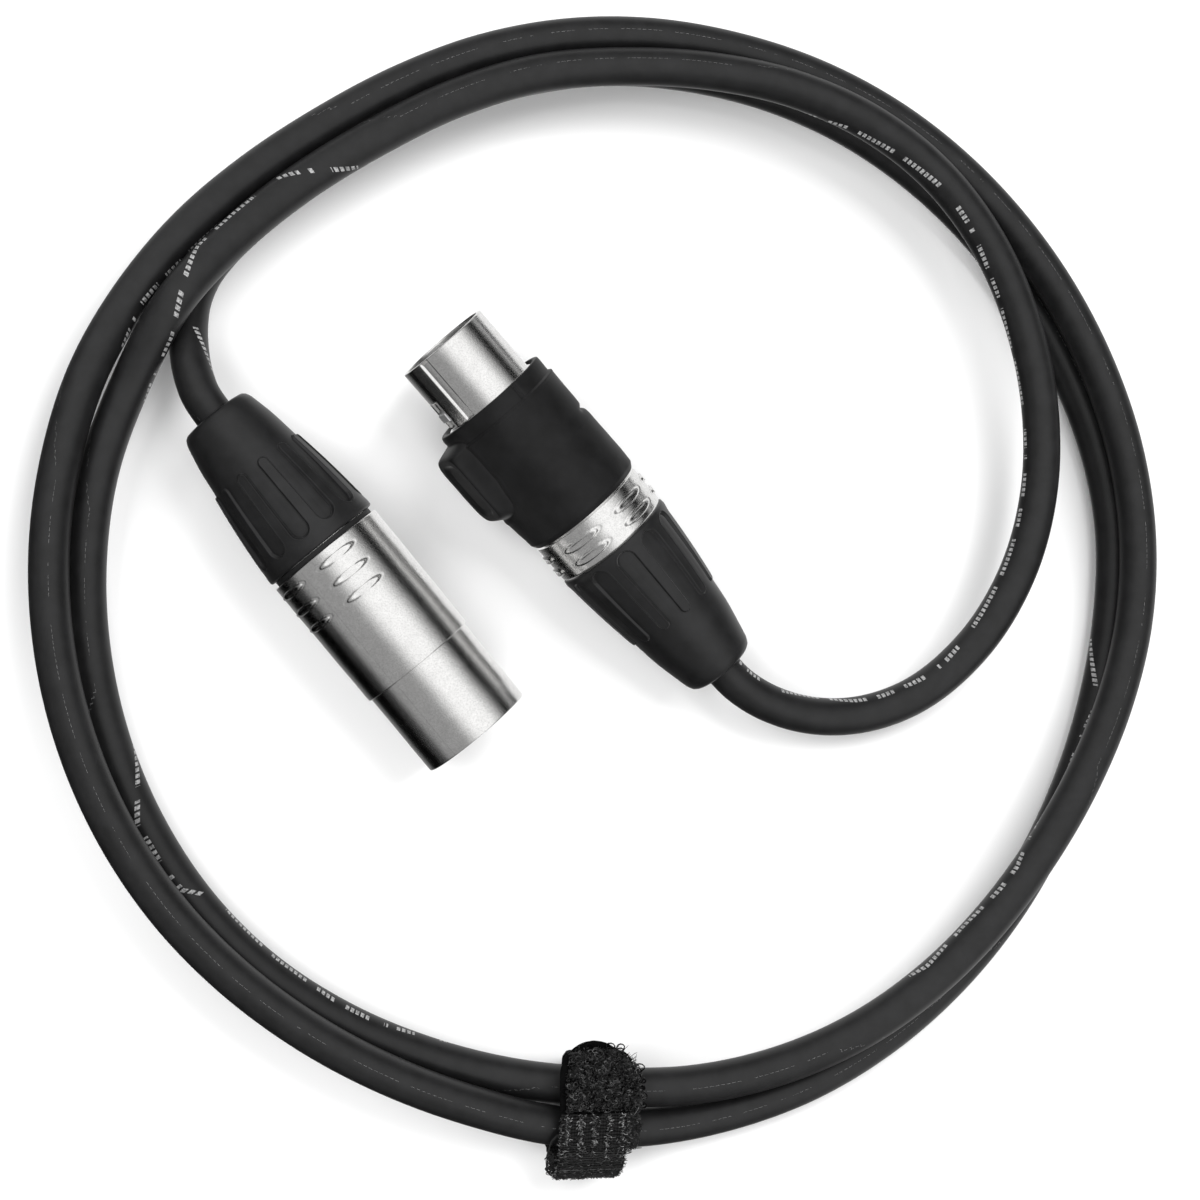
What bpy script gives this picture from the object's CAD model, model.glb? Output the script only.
# A coiled cable lying flat on a floor at z = 0, +Z up, the coil round the origin. It has a female
# and a male three-contact connector, and a hook-and-loop strap across the coil at -Y.
# Lengths are in millimetres unless a comment says otherwise; make() turns them into metres.
import math

import bpy
import numpy as np
from mathutils import Matrix, Vector

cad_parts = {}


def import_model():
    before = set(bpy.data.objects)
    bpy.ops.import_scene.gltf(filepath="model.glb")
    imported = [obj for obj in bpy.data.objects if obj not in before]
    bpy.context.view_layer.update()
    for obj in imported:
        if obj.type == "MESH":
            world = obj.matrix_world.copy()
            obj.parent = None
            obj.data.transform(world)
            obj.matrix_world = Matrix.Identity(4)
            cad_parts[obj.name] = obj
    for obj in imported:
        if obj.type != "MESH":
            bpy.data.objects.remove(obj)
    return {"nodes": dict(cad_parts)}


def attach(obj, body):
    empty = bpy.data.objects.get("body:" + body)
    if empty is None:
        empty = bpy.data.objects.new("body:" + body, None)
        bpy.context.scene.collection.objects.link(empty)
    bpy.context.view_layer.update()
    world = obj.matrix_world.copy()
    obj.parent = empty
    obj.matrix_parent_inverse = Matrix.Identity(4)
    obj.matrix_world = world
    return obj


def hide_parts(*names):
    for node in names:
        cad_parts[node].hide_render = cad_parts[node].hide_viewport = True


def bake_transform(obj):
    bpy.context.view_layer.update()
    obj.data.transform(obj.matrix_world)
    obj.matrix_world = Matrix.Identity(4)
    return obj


MM = 0.001      # metres in a millimetre

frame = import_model()


def amount(full):
    """A count for the full build, or the smaller one for a quick build."""
    return full


# ------------------------------------------------------------------ maths
def unit(v):
    v = np.asarray(v, float)
    return v / np.linalg.norm(v)


def axis_frame(origin, direction):
    """Axes of a connector: z runs from the cable to the mating end."""
    z = unit(direction)
    x = unit(np.cross((0, 0, 1.0), z))
    return dict(origin=np.asarray(origin, float), x=x, y=np.cross(z, x), z=z)


def to_world(axes, p):
    p = np.asarray(p, float)
    return axes["origin"] + p[..., 0:1] * axes["x"] + p[..., 1:2] * axes["y"] + p[..., 2:3] * axes["z"]


def smoothstep(start, end, x):
    t = np.clip((x - start) / (end - start), 0, 1)
    return t * t * (3 - 2 * t)


def bell(x, width):
    return np.exp(-(x / width) ** 2)


def wrap_angle(a):
    """The angle brought into -pi to pi."""
    return (a + math.pi) % (2 * math.pi) - math.pi


def distances(points):
    """Distance along a line of points, at each point."""
    return np.r_[0, np.cumsum(np.linalg.norm(np.diff(points, axis=0), axis=1))]


def resample(points, stations):
    """Points of a line at the given distances along it."""
    along = distances(points)
    return np.stack([np.interp(stations, along, column) for column in points.T], 1)


def spline_points(points, first, last, step):
    """Even points along a smooth curve through points (cubic Hermite, chord-length tangents)."""
    P = np.asarray(points, float)
    chord = np.linalg.norm(np.diff(P, axis=0), axis=1)
    tangent = np.zeros_like(P)
    tangent[0], tangent[-1] = unit(first), unit(last)
    for i in range(1, len(P) - 1):
        before, after = P[i] - P[i - 1], P[i + 1] - P[i]
        ratio = chord[i] / chord[i - 1]
        tangent[i] = unit(before * ratio + after * (chord[i - 1] / chord[i]))
    out = []
    for i in range(len(P) - 1):
        pieces = max(2, int(round(chord[i] / step)))
        for j in range(pieces):
            t = j / pieces
            out.append((2 * t**3 - 3 * t**2 + 1) * P[i]
                       + (t**3 - 2 * t**2 + t) * chord[i] * tangent[i]
                       + (-2 * t**3 + 3 * t**2) * P[i + 1]
                       + (t**3 - t**2) * chord[i] * tangent[i + 1])
    out.append(P[-1])
    return np.array(out)


def soft_noise(seed, waves, low, high):
    """A smooth random field over a plane: a sum of waves with frequencies from low to high."""
    rng = np.random.default_rng(seed)
    heading = rng.normal(size=(waves, 2))
    heading /= np.linalg.norm(heading, axis=1)[:, None]
    frequency = rng.uniform(low, high, waves)
    phase = rng.uniform(0, 2 * math.pi, waves)

    def at(u, v):
        total = 0
        for i in range(waves):
            total = total + np.sin(frequency[i] * (heading[i, 0] * u + heading[i, 1] * v) + phase[i])
        return total / math.sqrt(waves)
    return at


# ------------------------------------------------------------------ driving dimensions
FEMALE = axis_frame((17.01079, -13.47415, 7.56197), (-0.68482, 0.72113, 0.10485))
MALE = axis_frame((-66.40122, 24.70811, 10.60000), (0.64803, -0.76162, 0.00000))
FEMALE_LENGTH, MALE_LENGTH = 70.2, 65.0
CABLE_RADIUS = 3.15

# centre line of the cable from the female to the male connector: x, y, z
CABLE_PATH = [
    (17.01, -13.47, 7.56), (19.92, -16.18, 7.11), (23.27, -18.29, 6.57), (27.88, -20.16, 5.88),
    (33.71, -21.35, 5.19), (41.64, -21.15, 4.75), (50.20, -18.49, 5.20), (61.32, -9.50, 7.50),
    (68.71, 2.81, 9.79), (72.38, 16.81, 11.24), (72.57, 31.36, 11.96), (69.59, 45.60, 12.37),
    (63.66, 58.91, 12.60), (54.35, 70.04, 13.34), (42.33, 78.24, 13.92), (28.75, 83.48, 13.59),
    (14.41, 85.84, 12.59), (-0.14, 85.88, 11.60), (-14.55, 83.73, 11.34), (-28.22, 78.72, 10.95),
    (-40.95, 71.61, 10.58), (-52.98, 63.35, 10.28), (-63.83, 53.64, 10.47), (-73.07, 42.39, 11.63),
    (-79.36, 29.92, 7.92), (-83.92, 16.19, 6.61), (-85.53, 1.76, 5.46), (-84.53, -12.75, 4.51),
    (-81.06, -26.90, 4.12), (-75.20, -40.24, 4.12), (-67.01, -52.31, 4.27), (-56.60, -62.48, 4.25),
    (-44.35, -70.38, 3.95), (-30.95, -76.09, 3.63), (-16.87, -79.84, 3.71), (-2.48, -81.33, 5.56),
    (12.02, -81.31, 6.86), (26.31, -78.60, 7.55), (39.79, -73.16, 8.74), (51.99, -65.25, 9.49),
    (62.79, -55.45, 9.63), (72.12, -44.23, 9.60), (79.91, -31.93, 9.85), (86.07, -18.69, 9.94),
    (90.07, -4.68, 9.80), (91.13, 9.83, 9.82), (89.31, 24.30, 9.77), (84.92, 38.20, 9.56),
    (78.28, 51.18, 9.40), (69.58, 62.87, 9.40), (59.15, 73.06, 9.29), (47.15, 81.31, 9.27),
    (33.85, 87.28, 9.25), (19.73, 90.88, 9.11), (5.22, 92.25, 9.01), (-9.31, 91.12, 8.72),
    (-23.42, 87.48, 8.40), (-36.68, 81.44, 8.30), (-49.13, 73.83, 8.01), (-60.81, 65.12, 7.62),
    (-71.27, 54.96, 7.98), (-79.88, 43.20, 8.21), (-86.25, 30.23, 9.62), (-89.91, 16.14, 9.95),
    (-91.19, 1.62, 10.17), (-89.96, -12.90, 10.45), (-86.30, -27.01, 10.55), (-80.31, -40.30, 10.46),
    (-72.11, -52.35, 10.25), (-61.93, -62.77, 10.04), (-50.22, -71.45, 9.66), (-37.42, -78.39, 8.93),
    (-23.83, -83.61, 7.94), (-9.83, -87.25, 6.33), (4.52, -88.01, 4.38), (18.92, -86.14, 3.29),
    (32.82, -81.77, 3.30), (45.68, -74.93, 3.19), (57.23, -66.01, 3.15), (67.18, -55.36, 3.15),
    (75.39, -43.32, 3.15), (81.82, -30.23, 3.15), (86.45, -16.39, 3.15), (89.21, -2.08, 3.15),
    (89.76, 12.48, 3.15), (87.01, 26.78, 3.15), (81.49, 40.27, 3.15), (74.07, 52.82, 3.15),
    (64.82, 64.09, 3.15), (53.79, 73.63, 3.15), (41.26, 81.07, 3.15), (27.59, 86.06, 3.15),
    (13.19, 88.48, 3.15), (-1.36, 88.46, 3.15), (-15.66, 85.59, 3.15), (-29.25, 80.33, 3.16),
    (-41.91, 73.11, 3.14), (-53.60, 64.36, 3.22), (-58.13, 60.45, 3.39), (-62.45, 56.31, 3.64),
    (-65.78, 52.55, 3.86), (-68.50, 48.39, 4.18), (-70.00, 44.22, 4.75), (-70.52, 39.86, 5.82),
    (-70.42, 35.74, 7.55), (-69.85, 31.64, 9.34), (-68.64, 27.99, 10.38), (-66.40, 24.71, 10.60),
]

# the printed line: distance along the cable, and its place round the jacket in degrees from the top
PRINT_LINE = [
    (0.0, 49.5), (32.5, 49.5), (37.6, 69.2), (42.6, 72.3), (48.2, 51.2), (53.1, 47.3),
    (58.0, 49.5), (62.0, 42.4), (66.9, 40.7), (71.8, 49.3), (75.8, 56.6), (80.7, 62.9),
    (126.9, 99.0), (131.8, 89.4), (136.7, 75.3), (141.5, 69.9), (145.6, 59.8), (150.4, 46.8),
    (155.3, 42.2), (159.4, 42.4), (164.2, 51.8), (169.1, 58.8), (173.1, 67.8), (178.0, 74.5),
    (200.0, 175.0), (258.1, 175.0), (280.1, -49.9), (293.1, -55.6), (297.2, -58.7), (310.9, 59.5),
    (315.8, 67.8), (319.8, 71.0), (341.8, 175.0), (369.9, 175.0), (391.9, -19.6), (396.0, -16.6),
    (400.0, -17.0), (404.1, -10.0), (409.0, 71.2), (413.0, 67.7), (417.9, 66.9), (421.9, 61.0),
    (426.0, 62.0), (430.0, 57.6), (434.1, 49.1), (438.2, 48.4), (442.2, 48.6), (446.3, 59.7),
    (450.3, 67.3), (472.3, 175.0), (518.3, 175.0), (540.3, 60.5), (545.1, 72.8), (550.0, 76.9),
    (554.1, 69.8), (558.9, 59.1), (563.8, 58.0), (585.8, 175.0), (811.7, 175.0), (833.7, 76.8),
    (837.8, 82.1), (851.6, 63.1), (856.5, 51.0), (860.5, 44.5), (865.4, 61.9), (869.4, 80.9),
    (891.4, 175.0), (1114.0, 175.0), (1136.0, 53.4), (1140.9, 51.9), (1145.7, 46.3),
    (1149.8, 42.9), (1154.7, 43.4), (1159.5, 34.1), (1164.4, 18.5), (1186.4, 175.0),
    (1352.4, 175.0), (1374.4, -25.0), (1378.4, -32.0), (1383.3, -43.2), (1387.4, 85.0),
    (1391.7, 84.6), (1396.8, 83.9), (1401.1, 76.0), (1406.1, 55.7), (1410.7, 28.9),
    (1415.2, -9.6), (1440.2, 175.0), (1455.7, 175.0),
]


# ------------------------------------------------------------------ mesh helpers
def make(name, points, faces, material, smooth=True, attributes=None):
    """An object from points in millimetres, faces, and one value per point for each attribute."""
    mesh = bpy.data.meshes.new(name)
    mesh.from_pydata([], [], [])    # gives the mesh its usual layers before it is filled
    coords = np.asarray(points, float) * MM
    mesh.vertices.add(len(coords))
    mesh.vertices.foreach_set("co", coords.astype(np.float32).ravel())
    faces = list(faces)
    sizes = np.array([len(face) for face in faces], np.int32)
    mesh.loops.add(int(sizes.sum()))
    mesh.loops.foreach_set("vertex_index", np.concatenate(faces).astype(np.int32))
    mesh.polygons.add(len(faces))
    starts = np.concatenate([[0], np.cumsum(sizes)[:-1]]).astype(np.int32)
    mesh.polygons.foreach_set("loop_start", starts)
    mesh.update(calc_edges=True)
    mesh.polygons.foreach_set("use_smooth", np.full(len(faces), smooth))
    for key, values in (attributes or {}).items():
        layer = mesh.attributes.new(key, "FLOAT", "POINT")
        layer.data.foreach_set("value", np.asarray(values, np.float32))
    mesh.validate()
    mesh.update()
    piece = bpy.data.objects.new(name, mesh)
    bpy.context.scene.collection.objects.link(piece)
    mesh.materials.append(material.m)
    return piece


def place(piece, body, slot, *replaced):
    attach(piece, body)
    if replaced:
        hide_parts(*replaced)


def grid_faces(rows, columns, wrap_rows=False, wrap_columns=False, offset=0):
    """Quads of a grid whose vertex (i, j) is i * columns + j."""
    i = np.arange(rows if wrap_rows else rows - 1)
    j = np.arange(columns if wrap_columns else columns - 1)
    i, j = (grid.ravel() for grid in np.meshgrid(i, j, indexing="ij"))
    i2, j2 = (i + 1) % rows, (j + 1) % columns
    corners = [i * columns + j, i2 * columns + j, i2 * columns + j2, i * columns + j2]
    return np.stack(corners, 1) + offset


def end_caps(rows, columns):
    """Two faces that close a tube of rings."""
    return [list(range(columns)), list(range((rows - 1) * columns, rows * columns))[::-1]]


def slab_faces(rows, columns, closed=False):
    """Faces of a sheet with thickness: upper grid, lower grid, side walls and, if open, end walls."""
    lower = rows * columns
    faces = grid_faces(rows, columns, wrap_rows=closed).tolist()
    faces += grid_faces(rows, columns, wrap_rows=closed, offset=lower)[:, ::-1].tolist()
    for i in range(rows if closed else rows - 1):
        a, b = i * columns, (i + 1) % rows * columns
        faces.append([a, lower + a, lower + b, b])
        a, b = a + columns - 1, b + columns - 1
        faces.append([a, b, lower + b, lower + a])
    if not closed:
        last = (rows - 1) * columns
        for k in range(columns - 1):
            faces.append([k, k + 1, lower + k + 1, lower + k])
            a = last + k
            faces.append([a, lower + a, lower + a + 1, a + 1])
    return [face[::-1] for face in faces]


def rounded(corners, segments=4):
    """Rounds a closed profile given as corners of (radius, z, fillet)."""
    points = [np.array(corner[:2], float) for corner in corners]
    out = []
    for i, b in enumerate(points):
        fillet = corners[i][2]
        a, c = points[i - 1], points[(i + 1) % len(points)]
        u, v = unit(a - b), unit(c - b)
        angle = math.acos(max(-1, min(1, float(u @ v))))
        if fillet <= 0 or angle > 3.05:
            out.append(tuple(b))
            continue
        reach = min(fillet / math.tan(angle / 2),
                    0.45 * np.linalg.norm(a - b), 0.45 * np.linalg.norm(c - b))
        start, end = b + u * reach, b + v * reach
        for k in range(segments + 1):
            t = k / segments
            out.append(tuple((1 - t) ** 2 * start + 2 * t * (1 - t) * b + t * t * end))
    return out


def fine_profile(corners, step):
    """A rounded closed profile, cut so that no piece is longer than step."""
    points = rounded(corners)
    out = []
    for start, end in zip(points, points[1:] + points[:1]):
        a, b = np.array(start, float), np.array(end, float)
        pieces = max(1, int(math.ceil(np.linalg.norm(b - a) / step)))
        out += [tuple(a + (b - a) * i / pieces) for i in range(pieces)]
    return np.array(out)


def lathe(name, axes, profile, material, around, relief):
    """Turns a closed (radius, z) profile; relief(radius, z, angle) is added to the radius."""
    angles = np.linspace(0, 2 * math.pi, around, endpoint=False)
    radius = np.repeat(profile[:, :1], around, 1)
    z = np.repeat(profile[:, 1:2], around, 1)
    angle = np.repeat(angles[None, :], len(profile), 0)
    radius = radius + relief(radius, z, angle)
    local = np.stack([radius * np.cos(angle), radius * np.sin(angle), z], -1).reshape(-1, 3)
    faces = grid_faces(len(profile), around, wrap_rows=True, wrap_columns=True)
    x, y = profile.T
    if np.sum(x * np.roll(y, -1) - y * np.roll(x, -1)) <= 0:    # keeps the faces outward
        faces = faces[:, ::-1]
    return make(name, to_world(axes, local), faces, material,
                attributes={"ax": z.ravel(), "th": angle.ravel()})


# ------------------------------------------------------------------ materials
class Mat:
    """A material with short ways to add shader nodes."""

    def __init__(self, name):
        self.m = bpy.data.materials.new(name)
        self.m.use_nodes = True
        self.tree = self.m.node_tree
        self.shader = self.tree.nodes["Principled BSDF"]
        self.texture_coord = None

    def node(self, kind, **values):
        """Adds a node; each value is a property of it if one has that name, or else an input."""
        node = self.tree.nodes.new(kind)
        for key, value in values.items():
            if key in node.bl_rna.properties.keys():
                setattr(node, key, value)
            else:
                node.inputs[key].default_value = value
        return node

    def link(self, source, target):
        self.tree.links.new(source, target)

    def feed(self, name, source):
        """Links a socket to an input of the main shader."""
        self.link(source, self.shader.inputs[name])

    def set(self, **values):
        for key, value in values.items():
            self.shader.inputs[key.replace("_", " ")].default_value = value

    def coord(self):
        if self.texture_coord is None:
            self.texture_coord = self.node("ShaderNodeTexCoord")
        return self.texture_coord.outputs["Object"]

    def noise(self, scale, detail=4, rough=0.5):
        node = self.node("ShaderNodeTexNoise", Scale=scale, Detail=detail, Roughness=rough)
        self.link(self.coord(), node.inputs["Vector"])
        return node.outputs["Fac"]

    def ramp(self, fac, stops):
        """A grey ramp from (position, grey) stops."""
        node = self.node("ShaderNodeValToRGB")
        elements = node.color_ramp.elements
        while len(elements) < len(stops):
            elements.new(1.0)
        for element, (position, grey) in zip(elements, stops):
            element.position = position
            element.color = (grey, grey, grey, 1)
        self.link(fac, node.inputs["Fac"])
        return node.outputs["Color"]

    def math(self, operation, a, b=None, clamp=False):
        node = self.node("ShaderNodeMath", operation=operation, use_clamp=clamp)
        for i, value in enumerate((a, b)):
            if isinstance(value, (int, float)):
                node.inputs[i].default_value = value
            elif value is not None:
                self.link(value, node.inputs[i])
        return node.outputs[0]

    def swing(self, fac, size):
        """A noise moved to swing about zero, times size."""
        return self.math("MULTIPLY", self.math("SUBTRACT", fac, 0.5), size)

    def mix(self, fac, a, b):
        """Mixes two colours, each a tuple or a socket."""
        node = self.node("ShaderNodeMix", data_type="RGBA")
        self.link(fac, node.inputs[0])
        for target, value in ((node.inputs[6], a), (node.inputs[7], b)):
            if isinstance(value, tuple):
                target.default_value = (*value, 1)
            else:
                self.link(value, target)
        return node.outputs[2]

    def attr(self, name):
        return self.node("ShaderNodeAttribute", attribute_name=name).outputs["Fac"]

    def bump(self, height, strength, distance, normal=None):
        """Distance is in metres."""
        node = self.node("ShaderNodeBump", Strength=strength, Distance=distance)
        self.link(height, node.inputs["Height"])
        if normal is not None:
            self.link(normal, node.inputs["Normal"])
        return node.outputs["Normal"]


def black_matte(name, base, rough, grain=900, grain_bump=0.25, distance=0.00003, smudge=0.12,
                specular=0.5):
    """Black plastic or rubber with fine grain and uneven gloss."""
    m = Mat(name)
    broad = m.noise(scale=60, detail=3, rough=0.55)
    fine = m.noise(scale=grain, detail=3, rough=0.6)
    middle = m.noise(scale=350, detail=4, rough=0.6)
    dark, light = (base * 0.8, base * 0.8, base * 0.82), (base * 1.35, base * 1.35, base * 1.4)
    m.feed("Base Color", m.mix(m.ramp(middle, [(0.35, 0.0), (0.75, 1.0)]), dark, light))
    gloss = m.math("ADD", m.swing(broad, smudge), rough)
    m.feed("Roughness", m.math("ADD", gloss, m.swing(middle, smudge * 0.6), clamp=True))
    m.feed("Normal", m.bump(fine, strength=grain_bump, distance=distance))
    m.set(Specular_IOR_Level=specular)
    return m


def nickel(name):
    """Satin metal with fine dark specks."""
    m = Mat(name)
    fine = m.noise(scale=5200, detail=2, rough=0.7)
    middle = m.noise(scale=700, detail=4, rough=0.65)
    broad = m.noise(scale=90, detail=3, rough=0.5)
    tone = m.mix(m.ramp(middle, [(0.3, 0.0), (0.7, 1.0)]),
                 (0.75, 0.745, 0.735), (0.84, 0.835, 0.825))
    specks = m.ramp(m.noise(scale=3600, detail=3, rough=0.75), [(0.38, 0.62), (0.55, 1.0)])
    m.feed("Base Color", m.mix(specks, (0.54, 0.54, 0.535), tone))
    m.set(Metallic=1.0)
    gloss = m.math("ADD", m.swing(fine, 0.22), 0.20)
    m.feed("Roughness", m.math("ADD", gloss, m.swing(broad, 0.10), clamp=True))
    grain = m.bump(fine, strength=0.55, distance=0.00003)
    m.feed("Normal", m.bump(middle, strength=0.10, distance=0.00004, normal=grain))
    return m


def plain(name, color, rough, metallic=0.0, variation=0.15):
    """One colour, a little lighter and darker from place to place."""
    m = Mat(name)
    middle = m.noise(scale=480, detail=4, rough=0.6)
    dark = tuple(c * (1 - variation) for c in color)
    light = tuple(min(1, c * (1 + variation)) for c in color)
    m.feed("Base Color", m.mix(m.ramp(middle, [(0.3, 0.0), (0.7, 1.0)]), dark, light))
    gloss = m.swing(m.noise(scale=1200, detail=3), 0.2)
    m.feed("Roughness", m.math("ADD", gloss, rough, clamp=True))
    m.feed("Normal", m.bump(m.noise(scale=2040, detail=2), strength=0.12, distance=0.00002))
    m.set(Metallic=metallic)
    return m


PRINT_OFFSET = 4000.0       # keeps the distance positive before it is divided into repeats
PRINT_REPEAT = 42.0
DASH_GROUPS = ((1.0, 9.4), (11.4, 18.6), (20.6, 24.2), (26.2, 30.6), (33.2, 33.9), (35.2, 38.6))
DASH_PITCH, DASH_LENGTH, DASH_HALF_HEIGHT = 0.92, 0.60, 0.46


def cable_material():
    """Black jacket with a worn line of printed dashes in groups."""
    m = black_matte("pvc_jacket", base=0.0085, rough=0.44, grain=1400, grain_bump=0.18,
                    smudge=0.10, specular=0.38)
    # millimetres along the cable, and round the jacket from the print line
    along, around = m.attr("cab_s"), m.attr("cab_p")
    place_in_repeat = m.math("MODULO", m.math("ADD", along, PRINT_OFFSET), PRINT_REPEAT)
    groups = None
    for start, end in DASH_GROUPS:
        group = m.math("MULTIPLY", m.math("GREATER_THAN", place_in_repeat, start),
                       m.math("LESS_THAN", place_in_repeat, end))
        groups = group if groups is None else m.math("MAXIMUM", groups, group)
    place_in_dash = m.math("MODULO", m.math("ADD", along, PRINT_OFFSET), DASH_PITCH)
    dash = m.math("LESS_THAN", place_in_dash, DASH_LENGTH)
    row = m.math("LESS_THAN", m.math("ABSOLUTE", around), DASH_HALF_HEIGHT)
    mask = m.math("MULTIPLY", m.math("MULTIPLY", groups, dash), row)
    wear = m.ramp(m.noise(scale=2600, detail=3, rough=0.7), [(0.36, 0.25), (0.60, 1.0)])
    mask = m.math("MULTIPLY", mask, wear)
    jacket = m.shader.inputs["Base Color"].links[0].from_socket
    m.feed("Base Color", m.mix(mask, jacket, (0.36, 0.36, 0.36)))
    return m


def weave_material(name, base):
    """Woven cloth with ribs along and across the strap."""
    m = Mat(name)
    across, along = m.attr("fab_u"), m.attr("fab_v")      # mm
    weft_pitch, warp_pitch = 0.50, 0.46
    weft_phase = m.math("ADD", m.math("MULTIPLY", along, math.pi / weft_pitch),
                        m.math("MULTIPLY", m.noise(scale=900, detail=2), 2.5))
    weft = m.math("ABSOLUTE", m.math("SINE", weft_phase))
    warp = m.math("ABSOLUTE", m.math("SINE", m.math("MULTIPLY", across, math.pi / warp_pitch)))
    rough = m.noise(scale=1300, detail=4, rough=0.75)
    height = m.math("ADD", m.math("MULTIPLY", weft, 0.45), m.math("MULTIPLY", warp, 0.25))
    height = m.math("ADD", height, m.math("MULTIPLY", rough, 0.7))
    m.feed("Base Color", m.mix(m.ramp(height, [(0.55, 0.0), (1.15, 1.0)]),
                               (base * 0.25,) * 3, (base * 2.6,) * 3))
    m.set(Roughness=0.8, Specular_IOR_Level=0.15)
    m.feed("Normal", m.bump(height, strength=0.9, distance=0.00025))
    return m


def fibre_material(name, stops, rough=0.35):
    """Thread whose tone varies from one fibre to the next."""
    m = Mat(name)
    noise = m.noise(scale=2500, detail=2)
    tone = m.math("ADD", m.attr("fib"), m.swing(noise, 0.3))
    m.feed("Base Color", m.ramp(tone, stops))
    m.set(Roughness=rough, Specular_IOR_Level=0.4)
    return m


M_CABLE = cable_material()
M_BOOT = black_matte("boot_plastic", base=0.0085, rough=0.40, grain=1800, grain_bump=0.20,
                     smudge=0.20, specular=0.36)
M_RUBBER = black_matte("collar_rubber", base=0.0062, rough=0.50, grain=1500, grain_bump=0.30,
                       distance=0.00004, smudge=0.22, specular=0.22)
M_SEAL = black_matte("seal_rubber", base=0.008, rough=0.6)
M_NICKEL = nickel("satin_nickel")
M_INSERT = black_matte("insert_plastic", base=0.02, rough=0.45)
M_CONTACT = plain("silver_contact", (0.86, 0.84, 0.80), rough=0.22, metallic=1.0, variation=0.05)
M_STEEL = plain("spring_steel", (0.55, 0.55, 0.56), rough=0.3, metallic=1.0, variation=0.08)
M_NYLON = plain("nylon", (0.72, 0.71, 0.66), rough=0.5, variation=0.05)
M_COPPER = plain("copper", (0.72, 0.36, 0.2), rough=0.3, metallic=1.0, variation=0.1)
M_RED = plain("core_red", (0.5, 0.03, 0.03), rough=0.45)
M_WHITE = plain("core_white", (0.72, 0.72, 0.70), rough=0.45)
M_WEAVE = weave_material("strap_weave", base=0.0055)
M_PILE = fibre_material("strap_pile_fibre", [(0.0, 0.002), (0.45, 0.006), (0.75, 0.020),
                                             (0.93, 0.060), (1.0, 0.14)])
M_HOOK = fibre_material("strap_hooks", [(0.0, 0.010), (0.4, 0.035), (0.75, 0.10), (1.0, 0.30)],
                        rough=0.30)
M_THREAD = fibre_material("strap_thread", [(0.0, 0.003), (0.5, 0.012), (0.9, 0.030), (1.0, 0.08)],
                          rough=0.5)
M_BACK = black_matte("strap_backing", base=0.0020, rough=0.9, grain=1200, grain_bump=0.6,
                     distance=0.0001, specular=0.08)


# ------------------------------------------------------------------ the cable
UP = np.array([0, 0, 1.0])
INSIDE_STATIONS = (22.0, 14.0, 6.0)     # cable points inside each connector, along its axis


def across_tangent(vector, tangent):
    return unit(vector - tangent * (vector @ tangent))


def print_attributes(centres, tangents, along, around, skin):
    """Distance along the cable, and round it from the printed line, at each point of the skin."""
    above = np.array([across_tangent(UP, t) for t in tangents])
    left = np.cross(above, tangents)           # left of the run, seen from above
    angle = np.radians(np.interp(along, *zip(*PRINT_LINE)))
    line = above * np.cos(angle)[:, None] + left * np.sin(angle)[:, None]
    outward = skin - np.repeat(centres, around, 0)
    outward /= np.linalg.norm(outward, axis=1)[:, None]
    line, tangents = np.repeat(line, around, 0), np.repeat(tangents, around, 0)
    turn = np.arctan2(np.einsum("ij,ij->i", np.cross(line, outward), tangents),
                      np.einsum("ij,ij->i", line, outward))
    return {"cab_s": np.repeat(along, around), "cab_p": turn * CABLE_RADIUS}


def cable(name, around=44):
    female_end = [to_world(FEMALE, (0, 0, z)) for z in INSIDE_STATIONS]
    male_end = [to_world(MALE, (0, 0, z)) for z in INSIDE_STATIONS[::-1]]
    path = female_end + [np.array(p) for p in CABLE_PATH] + male_end
    centres = spline_points(path, -FEMALE["z"], MALE["z"], step=0.8)
    rings = len(centres)
    tangents = np.gradient(centres, axis=0)
    tangents /= np.linalg.norm(tangents, axis=1)[:, None]
    side = np.zeros_like(centres)
    side[0] = across_tangent(UP, tangents[0])
    for i in range(1, rings):       # carried along so that the skin doesn't twist
        side[i] = across_tangent(side[i - 1], tangents[i])
    other = np.cross(tangents, side)
    angles = np.linspace(0, 2 * math.pi, around, endpoint=False)
    along = distances(centres)
    s, a = along[:, None], angles[None, :]
    radius = CABLE_RADIUS - 0.012 + 0.010 * np.sin(s / 14.0 + 2 * a) + 0.006 * np.sin(s / 5.1 + a)
    spokes = (np.cos(angles)[None, :, None] * side[:, None, :]
              + np.sin(angles)[None, :, None] * other[:, None, :])
    skin = (centres[:, None, :] + radius[..., None] * spokes).reshape(-1, 3)
    faces = grid_faces(rings, around, wrap_columns=True).tolist() + end_caps(rings, around)
    jacket = make(name, skin, [face[::-1] for face in faces], M_CABLE,
                  attributes=print_attributes(centres, tangents, along, around, skin))
    place(jacket, "cable_assembly", "cable_pvc", "cable_jacket")


cable("cable_jacket_skin")


# ------------------------------------------------------------------ boots
BOOT_REAR_RADIUS, BOOT_HOLE_RADIUS = 6.15, 3.62
FINGER_PITCH = math.radians(30.0)
CHANNEL_HALF_ANGLE = math.radians(9.2)


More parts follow.
